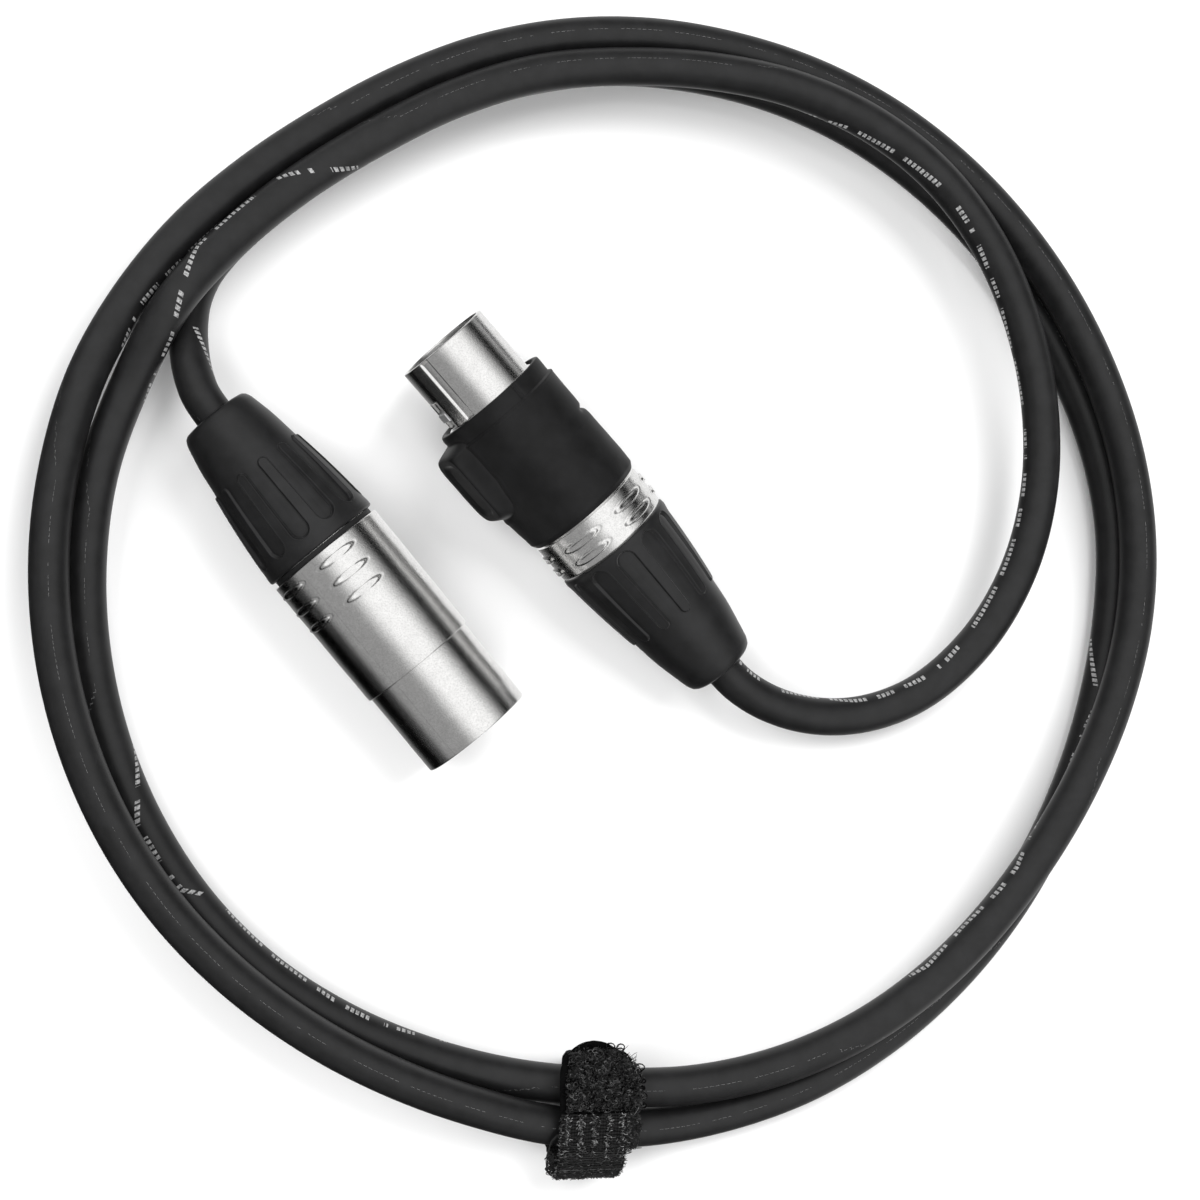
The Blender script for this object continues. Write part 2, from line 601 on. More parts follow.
def boot(node, axes, length, front_radius, fingers_start, channels_end, phase):
    """Boot with a smooth cone at the rear and twelve raised fingers that run out of its front band."""
    rear, hole = BOOT_REAR_RADIUS, BOOT_HOLE_RADIUS
    stations = np.linspace(1.4, length - 0.45, 230)
    cone = [(rear + (front_radius - rear) * (1.62 * t - 0.62 * t * t), z)
            for t, z in zip(stations / length, stations)]
    rear_edge = [(hole + 0.9, 0.0), (rear - 1.1, 0.0), (rear - 0.55, 0.10), (rear - 0.15, 0.42),
                 (rear + 0.10, 0.9)]
    front_edge = [(front_radius - 0.03, length - 0.25), (front_radius - 0.18, length - 0.07),
                  (front_radius - 0.4, length)]
    bore = [(8.75, length), (8.70, length - 0.1), (8.66, length - 8.3), (6.8, length - 8.4),
            (6.8, 9.1), (6.7, 9.0), (hole + 0.1, 9.0), (hole, 8.8), (hole, 1.6),
            (hole + 0.25, 0.7), (hole + 0.6, 0.15)]

    def relief(radius, z, angle):
        outer = (radius > 5.9) & (z > 0.9) & (z < length - 0.3)
        half = FINGER_PITCH / 2
        from_channel = (wrap_angle(angle - math.radians(phase)) + half) % FINGER_PITCH - half
        across_channel = np.abs(from_channel) * radius
        across_finger = (half - np.abs(from_channel)) * radius
        half_channel = CHANNEL_HALF_ANGLE * radius
        half_finger = (half - CHANNEL_HALF_ANGLE) * radius
        # signed distances to a finger, round at the rear, and a channel, round at the front
        finger_centre = fingers_start + half_finger
        finger = np.where(z > finger_centre, across_finger - half_finger,
                          np.hypot(across_finger, finger_centre - z) - half_finger)
        channel_centre = channels_end - half_channel
        channel = np.where(z < channel_centre, across_channel - half_channel,
                           np.hypot(across_channel, z - channel_centre) - half_channel)
        edge = np.where(z > channel_centre, np.minimum(finger, -channel), finger)
        low = smoothstep(-0.07, 0.07, edge)
        depth = (0.58 * smoothstep(fingers_start - 6.0, fingers_start + 1.0, z)
                 * (0.55 + 0.45 * smoothstep(fingers_start, channels_end, z)))
        d = -depth * low
        # a crease at the foot of each edge, and a rounded lip on it
        d -= 0.12 * bell(edge - 0.05, 0.08) * smoothstep(fingers_start - 0.4, fingers_start + 0.8, z)
        d += 0.05 * bell(edge + 0.15, 0.09) * smoothstep(fingers_start - 0.5, fingers_start + 0.5, z)
        # slightly dished channels
        d -= (0.05 * low * smoothstep(fingers_start, fingers_start + 3, z)
              * np.clip(1 - across_channel / np.maximum(half_channel, 0.1), 0, 1))
        # a faint swell at the front band and a faint waist behind the fingers
        d += 0.05 * bell(z - (length - 1.0), 0.5)
        d -= 0.04 * bell(z - (fingers_start - 7.5), 5.0)
        return np.where(outer, d, 0)

    profile = np.array(rear_edge + cone + front_edge + bore)
    piece = lathe(node + "_skin", axes, profile, M_BOOT, around=amount(720), relief=relief)
    place(piece, node, "boot_plastic", node)


boot("female_boot", FEMALE, length=28.0, front_radius=10.35, fingers_start=12.6,
     channels_end=27.1, phase=13.5)
boot("male_boot", MALE, length=26.4, front_radius=10.10, fingers_start=10.2,
     channels_end=24.0, phase=15.5)


# ------------------------------------------------------------------ metal shells
BARS_AROUND, BAR_HEIGHT = 6, 0.34


def grip_bars(z, angle, radius, rows, phase, length, width, skipped=()):
    """Cast grip bars: long ovals with a crisp raised rim and a lower middle."""
    d = np.zeros_like(z)
    for row in rows:
        for bar in range(BARS_AROUND):
            if bar in skipped:
                continue
            around = wrap_angle(angle - math.radians(phase + 360.0 * bar / BARS_AROUND)) * radius
            oval = (np.abs(around) / (length / 2)) ** 2.4 + (np.abs(z - row) / (width / 2)) ** 2
            body = 1 - smoothstep(0.62, 1.0, oval)
            dish = 1 - smoothstep(0.05, 0.42, oval)
            d += BAR_HEIGHT * (body - 0.62 * dish)
            d -= 0.05 * bell(oval - 1.25, 0.2)
    return d


MALE_BODY_RADIUS = 10.05


def male_shell():
    body, mouth = MALE_BODY_RADIUS, MALE_LENGTH
    profile = fine_profile([
        # radius, z, fillet
        (8.6, 20.0, 0.2), (8.6, 27.3, 0.05), (body, 27.3, 0.30), (body - 0.12, 49.85, 0.0),
        (body - 0.12, 50.2, 0.14), (9.50, 50.32, 0.05), (9.50, mouth, 0.32), (8.30, mouth, 0.22),
        (8.30, mouth - 3.5, 0.05), (8.10, mouth - 3.6, 0.05), (8.10, 44.0, 0.1),
        (7.20, 44.0, 0.1), (7.20, 20.0, 0.1),
    ], step=0.13)

    def relief(radius, z, angle):
        d = grip_bars(z, angle, body, rows=[29.3, 32.6, 35.9], phase=35.0, length=6.9,
                      width=1.25, skipped=(0,))
        for parting_line in (128.5, 308.5):
            d += 0.035 * bell(wrap_angle(angle - math.radians(parting_line)) * radius, 0.09)
        d += 0.012 * np.sin(z * 0.7 + 3 * np.cos(angle))
        # fine turned line where the mating barrel starts
        d -= 0.04 * bell(z - 50.0, 0.12)
        return np.where((radius > 9.3) & (z > 27.8), d, 0)

    piece = lathe("male_shell_skin", MALE, profile, M_NICKEL, around=amount(520), relief=relief)
    place(piece, "cable_assembly", "nickel", "male_shell")


def male_key_rib():
    """Rib along the inside of the male mouth, lower at its front end."""
    angle = math.radians(200.0)
    root, front = 8.25, MALE_LENGTH - 4.2
    stations = np.linspace(47.6, front, 24)
    # distance from the axis, offset across the rib
    section = [(root, -0.85), (7.75, -0.8), (7.58, -0.55), (7.55, 0.0), (7.58, 0.55),
               (7.75, 0.8), (root, 0.85)]
    points = []
    for z in stations:
        height = min(1.0, (front - z) / 0.5 + 0.25)
        for x, y in section:
            x = root - (root - x) * height
            points.append((x * math.cos(angle) - y * math.sin(angle),
                           x * math.sin(angle) + y * math.cos(angle), z))
    sizes = len(stations), len(section)
    faces = grid_faces(*sizes, wrap_columns=True).tolist() + end_caps(*sizes)
    rib = make("male_shell_key_rib", to_world(MALE, np.array(points)), faces, M_NICKEL)
    place(rib, "cable_assembly", "nickel")


RING_RADIUS, NOSE_RADIUS = 10.20, 8.0


def female_shell():
    ring, nose, mouth = RING_RADIUS, NOSE_RADIUS, FEMALE_LENGTH
    profile = fine_profile([
        # radius, z, fillet
        (8.6, 20.4, 0.2), (8.6, 28.2, 0.05), (ring, 28.2, 0.3), (ring, 34.85, 0.25),
        (9.15, 34.9, 0.05), (9.15, 57.9, 0.2), (nose, 58.6, 0.1), (nose, mouth, 0.30),
        (7.2, mouth, 0.18), (7.2, 20.4, 0.1),
    ], step=0.16)

    def relief(radius, z, angle):
        on_ring = (z > 28.6) & (z < 34.6) & (radius > 9.8)
        bars = grip_bars(z, angle, ring, rows=[30.0, 32.6], phase=52.5, length=7.4, width=1.5)
        # key groove and latch window, both in the nose
        from_groove = np.abs(wrap_angle(angle - math.radians(43.0)) * nose)
        groove = (1 - smoothstep(0.62, 0.88, from_groove)) * smoothstep(mouth + 0.2, mouth - 0.6, z)
        from_window = np.abs(wrap_angle(angle) * nose)
        window = (1 - smoothstep(2.05, 2.35, from_window)) * smoothstep(63.9, 63.5, z)
        seam = bell(wrap_angle(angle - math.radians(150.0)) * radius, 0.09)
        cuts = -0.42 * groove - 0.72 * window - 0.03 * seam
        return np.where(on_ring, bars, 0) + np.where((radius > 7.7) & (z > 58.8), cuts, 0)

    piece = lathe("female_shell_skin", FEMALE, profile, M_NICKEL, around=amount(520),
                  relief=relief)
    place(piece, "cable_assembly", "nickel", "female_shell")


male_shell()
male_key_rib()
female_shell()


# ------------------------------------------------------------------ rubber collar with its push bump
def collar():
    rear, front = 35.1, 58.7
    profile = fine_profile([
        # radius, z, fillet
        (9.22, rear, 0.1), (10.05, rear, 0.30), (10.62, rear + 0.9, 0.6),
        (10.78, rear + 3.5, 1.5), (10.78, rear + 11.0, 1.5), (10.48, rear + 13.2, 1.5),
        (10.48, front - 3.7, 0.3), (10.56, front - 3.2, 0.16), (10.02, front - 2.85, 0.18),
        (10.02, front, 0.42), (9.22, front, 0.1),
    ], step=0.14)
    rng = np.random.default_rng(7)
    # angle, z, width, height
    lumps = [(rng.uniform(0, 2 * math.pi), rng.uniform(rear, front), rng.uniform(1.2, 3.0),
              rng.normal(scale=0.05)) for _ in range(34)]

    def relief(radius, z, angle):
        # soft uneven skin
        d = (0.05 * np.sin(2 * angle + z * 0.25) + 0.03 * np.sin(3 * angle - z * 0.4 + 1.0)
             + 0.015 * np.sin(7 * angle + z * 0.9))
        for lump_angle, lump_z, width, height in lumps:
            d += height * bell(np.hypot(wrap_angle(angle - lump_angle) * 10.5, z - lump_z), width)
        # a wavy front lip
        d += 0.07 * np.sin(5 * angle + 0.6) * smoothstep(front - 3.0, front - 1.0, z)
        # the bump over the latch's push tab, flat-topped and dished; the far half is kept clear
        a = wrap_angle(angle)
        across = np.abs(np.where(np.abs(a) < math.pi / 2, np.sin(a) * radius, 20.0))
        along = np.abs(z - 49.7)
        outline = (across / 4.9) ** 5 + (along / 7.1) ** 5
        bump = 1 - smoothstep(0.45, 1.30, outline)
        dish = 1 - smoothstep(0.40, 1.05, (across / 3.3) ** 4 + (along / 5.3) ** 4)
        top = 12.80 / np.maximum(np.cos(np.clip(a, -1.0, 1.0)), 0.55)
        target = top - 0.50 * dish - 0.10 * (along / 6.3) ** 2
        d += (target - radius - 0.0) * bump
        # skirt round the bump, fuller towards the boot
        d += 0.18 * bell(outline - 1.9, 0.8) * (across < 8)
        d += 0.45 * bell(across, 5.0) * bell(z - 41.5, 2.6) * (1 - bump)
        # a nick on the far side, and a notch across the front lip
        nick = np.exp(-(wrap_angle(angle - math.radians(163)) * radius / 3.2) ** 4)
        d -= 0.50 * nick * bell(z - (front - 10.9), 0.42)
        notch = bell(wrap_angle(angle - math.radians(100)) * radius, 0.30)
        d -= 0.26 * notch * smoothstep(front - 3.2, front - 2.6, z)
        return np.where(radius > 9.6, d, 0)

    piece = lathe("female_collar_skin", FEMALE, profile, M_RUBBER, around=amount(560),
                  relief=relief)
    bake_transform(piece)
    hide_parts("female_collar", "latch_pad")


collar()

# ------------------------------------------------------------------ small parts kept from the CAD
KEPT_PARTS = [
    (M_SEAL, ["male_seal_ring"]),
    (M_INSERT, ["female_insert", "male_insert"]),
    (M_STEEL, ["latch_lever", "latch_pivot_pin", "latch_spring"]),
    (M_NYLON, ["female_chuck", "male_chuck", "female_thrust_ring", "male_thrust_ring"]),
    (M_COPPER, ["cable_shield", "female_drain_wire", "male_drain_wire"]),
    (M_RED, ["core_hot"]),
    (M_WHITE, ["core_cold"]),
    (M_CONTACT, [f"{end}_contact_{i}" for i in (1, 2, 3) for end in ("female", "male")]),
]
for part_material, part_names in KEPT_PARTS:
    for part_name in part_names:
        slots = frame["nodes"][part_name].data.materials
        slots.clear()
        slots.append(part_material.m)

# ------------------------------------------------------------------ hook-and-loop strap
STRAP_X, STRAP_WIDTH = -5.20, 11.6
# the band is a racetrack in y and z: two half rounds about these centres
BAND_Y_INNER, BAND_Y_OUTER, BAND_MIDDLE_Z = -80.85, -87.75, 5.475
BAND_INNER_RADIUS, BAND_TOP_Z = 4.375, 10.85

broad_noise = soft_noise(3, waves=16, low=0.3, high=1.4)
fine_noise = soft_noise(5, waves=30, low=3.0, high=12.0)


def flat(across, along):
    return 0.0


def ribbon(name, line, half_width, thickness, material, centre_x, step, upper=flat, lower=flat,
           closed=False, slope=0.0):
    """A cloth strip along a (y, z) line, its upper side on the left of the run.

    half_width(along) is its half width; upper and lower add relief(across, along).
    Returns the piece and its run: distances, line points, normals and half widths.
    """
    line = np.asarray(line, float)
    if closed:
        line = np.vstack([line, line[:1]])
    length = distances(line)[-1]
    rows = max(8, int(length / step)) + (0 if closed else 1)
    s = np.linspace(0, length, rows, endpoint=not closed)
    y, z = resample(line, s).T
    if closed:
        tangent_y, tangent_z = (np.roll(v, -1) - np.roll(v, 1) for v in (y, z))
    else:
        tangent_y, tangent_z = np.gradient(y), np.gradient(z)
    size = np.hypot(tangent_y, tangent_z)
    normal_y, normal_z = -tangent_z / size, tangent_y / size
    columns = int(STRAP_WIDTH / step)
    half = np.array([half_width(station) for station in s])
    across = half[:, None] * np.linspace(-1, 1, columns)[None, :]
    along = np.repeat(s[:, None], columns, 1)
    edge = np.clip((half[:, None] - np.abs(across)) / 0.35, 0, 1)
    rim = np.sqrt(np.clip(1 - (1 - edge) ** 2, 0, 1))       # rounds the two edges
    top = thickness / 2 * rim + upper(across, along) * np.clip(edge + 0.2, 0, 1)
    bottom = -thickness / 2 * rim + lower(across, along) * edge
    x = centre_x + across + slope * (along - s[-1] / 2)
    sides = [np.stack([x, y[:, None] + normal_y[:, None] * offset,
                       z[:, None] + normal_z[:, None] * offset], -1).reshape(-1, 3)
             for offset in (top, bottom)]
    piece = make(name, np.concatenate(sides), slab_faces(rows, columns, closed), material,
                 attributes={"fab_u": np.tile(across.ravel(), 2), "fab_v": np.tile(along.ravel(), 2)})
    run = dict(s=s, y=y, z=z, normal_y=normal_y, normal_z=normal_z, half=half)
    return piece, run


def fibres(name, lines, radius, material, body, slot, sides=4):
    """Many short round fibres in one mesh. Each line is an (n, 3) array."""
    points, faces, base = [], [], 0
    angles = np.linspace(0, 2 * math.pi, sides, endpoint=False)
    cos, sin = np.cos(angles)[None, :, None], np.sin(angles)[None, :, None]
    for line in lines:
        n = len(line)
        tangent = np.gradient(line, axis=0)
        tangent /= np.linalg.norm(tangent, axis=1)[:, None] + 1e-12
        a = np.cross(tangent, [0.3, 0.5, 0.81])
        a /= np.linalg.norm(a, axis=1)[:, None] + 1e-12
        b = np.cross(tangent, a)
        radii = radius * np.ones(n)
        radii[-1] *= 0.5
        rings = line[:, None, :] + radii[:, None, None] * (cos * a[:, None, :] + sin * b[:, None, :])
        points.append(rings.reshape(-1, 3))
        faces.append(grid_faces(n, sides, wrap_columns=True, offset=base))
        first = base + np.arange(sides)
        faces.append(np.array([first[::-1], first + (n - 1) * sides]))
        base += n * sides
    tones = np.random.default_rng(len(lines)).random(len(lines))
    tone = np.concatenate([np.full(len(p), t) for p, t in zip(points, tones)])
    piece = make(name, np.concatenate(points), np.concatenate(faces), material,
                 attributes={"fib": tone})
    place(piece, body, slot)


# ---- the closed band, woven on the outside
def racetrack(radius, n=48):
    angles = np.linspace(-math.pi / 2, math.pi / 2, n)
    inner = [(BAND_Y_INNER + radius * math.cos(a), BAND_MIDDLE_Z + radius * math.sin(a))
             for a in angles]
    outer = [(BAND_Y_OUTER - radius * math.cos(a), BAND_MIDDLE_Z - radius * math.sin(a))
             for a in angles]
    return inner + outer


def band_relief(across, along):
    ribs = np.abs(np.sin(across * math.pi / 1.15)) ** 0.8
    return 0.5 * (0.07 * ribs + 0.05 * fine_noise(across, along)
                  + 0.06 * broad_noise(across, along) - 0.04)


band, _ = ribbon("strap_band_skin", racetrack(BAND_INNER_RADIUS + 0.5)[::-1],
                 half_width=lambda s: 4.45 + 0.10 * math.sin(s * 0.8) + 0.05 * math.sin(s * 2.9),
                 thickness=0.96, material=M_WEAVE, centre_x=-4.05, step=0.16,
                 upper=band_relief, closed=True)
place(band, "cable_assembly", "strap_fabric", "strap_band")

# ---- lip, fold and flap in one piece of cloth; the flap lifts about the fold
# (y, z) from the lip, round the fold, to the flap's free end
CLOTH_LINE = np.array([
    (-90.6, 1.75), (-91.9, 2.6), (-92.9, 3.9), (-93.6, 5.1), (-94.2, 5.75), (-94.75, 6.15),
    (-95.0, 6.65), (-94.92, 7.25), (-94.5, 8.15), (-94.0, 9.15), (-92.9, 10.2), (-91.5, 10.95),
    (-90.0, 11.35), (-88.5, 11.52), (-86.6, 11.52), (-84.75, 11.46),
])
# distances below are from the free end
CLOTH_LENGTH = distances(CLOTH_LINE)[-1]
THREADS_END = CLOTH_LENGTH * 0.70
HOOK_LENGTH = 4.6
HOOK_ROW_PITCH = 2.24
FLAP_X, FLAP_SLOPE = STRAP_X - 0.50, -0.045


def smooth_cloth():
    """The cloth line cut evenly and softened with a short bell-shaped average."""
    line = resample(CLOTH_LINE, np.linspace(0, CLOTH_LENGTH, 220))
    kernel = np.exp(-np.linspace(-2, 2, 9) ** 2)
    kernel /= kernel.sum()
    padded = np.vstack([np.repeat(line[:1], 4, 0), line, np.repeat(line[-1:], 4, 0)])
    return np.stack([np.convolve(column, kernel, "valid") for column in padded.T], 1)


def flap_half_width(s):
    return (5.38 + 0.07 * math.sin(s * 1.7) + 0.05 * math.sin(s * 4.3)
            - 0.28 * smoothstep(CLOTH_LENGTH * 0.45, CLOTH_LENGTH * 0.62, s))


def flap_relief(across, along):
    """Hook side: five rows near the free end, then a plain ribbed weave down to the fold."""
    broad, fine = broad_noise(across, along), fine_noise(across, along)
    hook = 1 - smoothstep(HOOK_LENGTH - 0.8, HOOK_LENGTH + 0.6, along + 0.35 * broad)
    rows = 0.5 + 0.5 * np.cos(across * 2 * math.pi / HOOK_ROW_PITCH)
    ribs = np.sin(along * math.pi / 0.36 + broad)
    height = (hook * (0.14 * rows + 0.07 * fine)
              + (1 - hook) * (0.045 * ribs + 0.05 * broad + 0.03 * fine) - 0.05)
    return -height


flap, flap_run = ribbon("strap_flap_skin", smooth_cloth()[::-1], flap_half_width,
                        thickness=0.86, material=M_WEAVE, centre_x=FLAP_X, step=0.10,
                        lower=flap_relief, slope=FLAP_SLOPE)
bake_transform(flap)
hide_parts("strap_flap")

# ---- the loose tongue: a thin backing with a curly pile on it
TONGUE_X, TONGUE_HALF_WIDTH = -5.35, 5.5
TONGUE_START_Y, TONGUE_TIP_Y = -84.0, -73.5


def tongue_half_width(s):
    """Round end at the tip, then straight sides; s is from the tip."""
    half = TONGUE_HALF_WIDTH
    if s >= half:
        return half
    return max(0.25, math.sqrt(max(0.0, half ** 2 - (half - s) ** 2)))


tongue_line = [(TONGUE_TIP_Y + 0.05, 11.22), (TONGUE_START_Y + 7, 11.33),
               (TONGUE_START_Y + 3, 11.36), (TONGUE_START_Y - 0.2, 11.36)]
tongue, _ = ribbon("strap_tongue_backing", tongue_line, tongue_half_width, thickness=0.62,
                   material=M_BACK, centre_x=TONGUE_X, step=0.14,
                   lower=lambda across, along: -0.05 * fine_noise(across, along))
place(tongue, "strap_tongue", "strap_pile", "strap_tongue")

# outlines of the two patches of pile, seen from above: x, y
TONGUE_PILE = [(-9.6, -84.1), (-9.35, -79.0), (-9.0, -75.6), (-7.0, -74.9), (-2.4, -75.0),
               (-0.4, -75.9), (1.0, -77.5), (1.75, -79.4), (1.95, -82.0), (1.8, -84.1)]
BAND_PILE = [(-0.5, -85.0), (1.9, -85.0), (1.85, -87.0), (1.5, -89.6), (0.6, -90.4),
             (-0.5, -90.3)]
CURL_RADII = (0.16, 0.46)
PILE_FIBRE_RADIUS = 0.058


def crossings(outline, y):
    """Where an outline crosses a line of constant y."""
    return [(x2 - x1) * (y - y1) / (y2 - y1) + x1
            for (x1, y1), (x2, y2) in zip(outline, outline[1:] + outline[:1])
            if (y1 > y) != (y2 > y)]


def inside(outline, x, y):
    return sum(x < crossing for crossing in crossings(outline, y)) % 2 == 1


def band_height(y):
    """Top of the band at a place along the strap."""
    if y > BAND_Y_OUTER:
        return BAND_TOP_Z
    rise = (BAND_TOP_Z - BAND_MIDDLE_Z) ** 2 - (y - BAND_Y_OUTER) ** 2
    return BAND_MIDDLE_Z + math.sqrt(max(0.3, rise))


def curls(outline, count, height, radii, seed):
    """Curly loops lying at random over an outline, on top of height(y)."""
    rng = np.random.default_rng(seed)
    low, high = np.min(outline, 0), np.max(outline, 0)
    n = 11
    t = np.linspace(0, 1, n)
    out = []
    while len(out) < count:
        x = rng.uniform(low[0] - 0.2, high[0] + 0.2)
        y = rng.uniform(low[1] - 0.2, high[1] + 0.2)
        if not inside(outline, x + rng.normal(scale=0.12), y + rng.normal(scale=0.12)):
            continue
        radius = rng.uniform(*radii)
        turn = rng.uniform(0.45, 1.05) * 2 * math.pi * rng.choice([-1, 1])
        start = rng.uniform(0, 2 * math.pi)
        angle = start + turn * t
        growth = 0.75 + 0.5 * np.sin(t * math.pi * rng.uniform(0.7, 1.3) + rng.uniform(0, 2))
        xs = x + radius * growth * (np.cos(angle) - math.cos(start))
        ys = y + radius * growth * (np.sin(angle) - math.sin(start)) * rng.uniform(0.6, 1.0)
        lift = rng.uniform(0.25, 1.0)
        zs = (height(y) + 0.08 + lift * np.sin(t * math.pi) * rng.uniform(0.35, 0.95)
              + 0.06 * rng.normal(size=n))
        out.append(np.stack([xs, ys, zs], 1))
    return out


def felt(name, outline, height, thickness, body, step=0.22, columns=40):
    """A thin cloth pad over an outline, its top at height(y)."""
    low, high = np.min(outline, 0), np.max(outline, 0)
    t = np.linspace(0, 1, columns)
    rows = []
    for y in np.arange(low[1] + 0.06, high[1] - 0.05, step):
        ends = crossings(outline, y)
        x = min(ends) + (max(ends) - min(ends)) * t
        z = height(y) + 0.10 * fine_noise(x, y) - 0.25 * (np.abs(t - 0.5) * 2) ** 6
        rows.append(np.stack([x, np.full(columns, y), z], 1))
    top = np.concatenate(rows)
    bottom = top - np.array([0, 0, thickness])
    piece = make(name, np.concatenate([top, bottom]), slab_faces(len(rows), columns), M_BACK)
    place(piece, body, "strap_pile")


fibres("strap_tongue_pile",
       curls(TONGUE_PILE, amount(3000), lambda y: 11.62, CURL_RADII, seed=11),
       PILE_FIBRE_RADIUS, M_PILE, "strap_tongue", "strap_pile")
# a mat and a pad under the loops, so that nothing shows through between them
fibres("strap_tongue_pile_base",
       curls(TONGUE_PILE, amount(1500), lambda y: 11.30, (0.3, 0.8), seed=12),
       0.12, M_BACK, "strap_tongue", "strap_pile")
felt("strap_tongue_pile_felt", TONGUE_PILE, lambda y: 11.50, thickness=0.35, body="strap_tongue")

# the band's pile shows beyond the flap on its +X side
fibres("strap_band_pile",
       curls(BAND_PILE, amount(700), lambda y: band_height(y) + 0.15, CURL_RADII, seed=21),
       PILE_FIBRE_RADIUS, M_PILE, "cable_assembly", "strap_pile")
felt("strap_band_pile_felt", BAND_PILE, lambda y: band_height(y) + 0.05, thickness=0.6,
     body="cable_assembly")

# ---- loose fibres, hooks and threads; they share one run of random draws, so their order matters
strand_rng = np.random.default_rng(31)


def tongue_wisps(rng):
    """Stray fibres round the edge of the tongue's pile, more of them towards +X."""
    edge = np.array(TONGUE_PILE)
    t = np.linspace(0, 1, 8)
    lines = []
    for _ in range(amount(300)):
        k = rng.integers(1, len(edge) - 1)
        if rng.random() < 0.45:
            k = rng.integers(4, len(edge) - 1)
        share = rng.random()
        root = edge[k] * (1 - share) + edge[k + 1] * share
        out = unit(root - np.array([-3.5, -80.0])) + rng.normal(scale=0.5, size=2)
        out /= np.linalg.norm(out)
        length = rng.uniform(0.3, 1.15)
        bend = rng.normal(scale=0.7) * t ** 2 * length
        x = root[0] - 0.15 * out[0] + out[0] * length * t - out[1] * bend
        y = root[1] - 0.15 * out[1] + out[1] * length * t + out[0] * bend
        z = 11.55 + 0.45 * np.sin(t * 2.5) * rng.uniform(0, 1) + rng.uniform(-0.2, 0.35)
        lines.append(np.stack([x, y, z], 1))
    return lines


def flap_index(s):
    return int(np.clip(np.searchsorted(flap_run["s"], s), 0, len(flap_run["s"]) - 1))


def on_flap(s, across, height):
    """A point above the middle of the flap's cloth on its outer side, and the outward normal."""
    k = flap_index(s)
    normal = np.array([0, -flap_run["normal_y"][k], -flap_run["normal_z"][k]])
    x = FLAP_X + across + FLAP_SLOPE * (flap_run["s"][k] - flap_run["s"][-1] / 2)
    return np.array([x, flap_run["y"][k], flap_run["z"][k]]) + normal * height, normal


def flap_hooks(rng):
    """Bent stubs in five rows near the free end, thinning out towards the fold."""
    t = np.linspace(0, 1, 7)
    limit = 5.15
    lines = []
    for _ in range(amount(560)):
        row = rng.integers(-2, 3)
        if rng.random() < 0.86:
            s = rng.uniform(0.1, HOOK_LENGTH)
        else:
            s = rng.uniform(HOOK_LENGTH, HOOK_LENGTH + 2.2)
        across = row * HOOK_ROW_PITCH + rng.normal(scale=0.26)
        if abs(across) > limit:
            across = math.copysign(limit - rng.uniform(0, 0.3), across)
        root, normal = on_flap(s, across, 0.42)
        lean = rng.choice([-1, 1])
        height = rng.uniform(0.22, 0.46)
        radius = rng.uniform(0.12, 0.24)
        heading = unit(np.array([lean, rng.normal(scale=0.8), 0]))
        lines.append(root + normal * (height * np.sin(t * math.pi * 0.8))[:, None]
                     + heading * (radius * (1 - np.cos(t * math.pi)))[:, None])
    return lines


def flap_threads(rng):
    """Weft threads across the plain part of the flap."""
    across = np.linspace(-5.2, 5.2, 34)
    lines = []
    s = HOOK_LENGTH + 0.2
    while s < THREADS_END:
        drift = 0.05 * broad_noise(across, s) + 0.03 * rng.normal(size=len(across))
        spread = flap_run["half"][flap_index(s)] / 5.6
        lines.append(np.array([
            on_flap(s + d, u * spread, 0.40 + 0.035 * math.sin(u * 5.5 + s * 9))[0]
            for u, d in zip(across, drift)]))
        s += rng.uniform(0.26, 0.42)
    return lines


def flap_fuzz(rng):
    """Short arched fibres lying mostly across the plain part."""
    t = np.linspace(-0.5, 0.5, 6)
    lines = []
    for _ in range(amount(420)):
        s = rng.uniform(HOOK_LENGTH, THREADS_END)
        middle, normal = on_flap(s, rng.uniform(-5.2, 5.2), 0.44)
        heading = unit(np.array([1.0, 0, 0]) + rng.normal(scale=0.5, size=3))
        length = rng.uniform(0.25, 0.8)
        lines.append(middle + heading * (length * t)[:, None]
                     + normal * (0.16 * (1 - (2 * t) ** 2))[:, None])
    return lines


def flap_fray(rng):
    """Frayed ends along both edges of the flap."""
    t = np.linspace(0, 1, 6)
    lines = []
    for _ in range(amount(260)):
        s = rng.uniform(0.1, THREADS_END)
        side = rng.choice([-1, 1])
        edge = side * flap_run["half"][flap_index(s)] * 0.98
        root, normal = on_flap(s, edge, rng.uniform(-0.1, 0.35))
        out = unit(np.array([side * 1.0, 0, 0]) + normal * rng.uniform(-0.2, 0.8)
                   + rng.normal(scale=0.45, size=3))
        length = rng.uniform(0.15, 0.55)
        bend = rng.normal(scale=0.3, size=3)
        lines.append(root + out * (length * t)[:, None] + bend * (t ** 2 * length)[:, None])
    return lines


# x, y, z of the threads along the -X side of the fold
FOLD_EDGE = np.array([(-11.0, -88.0, 10.6), (-11.8, -89.2, 9.7), (-12.1, -91.0, 8.6),
                      (-12.05, -93.0, 7.3), (-11.8, -94.4, 6.6), (-11.0, -94.8, 6.4)])
# threads on the +X side: start x, y, end x, y, and z
SIDE_THREADS = [(-0.2, -90.2, 3.0, -90.75, 9.3), (0.0, -90.4, 2.2, -90.5, 9.6),
                (-0.3, -91.6, 1.6, -91.45, 8.4), (-0.4, -92.1, 0.7, -92.5, 7.8)]


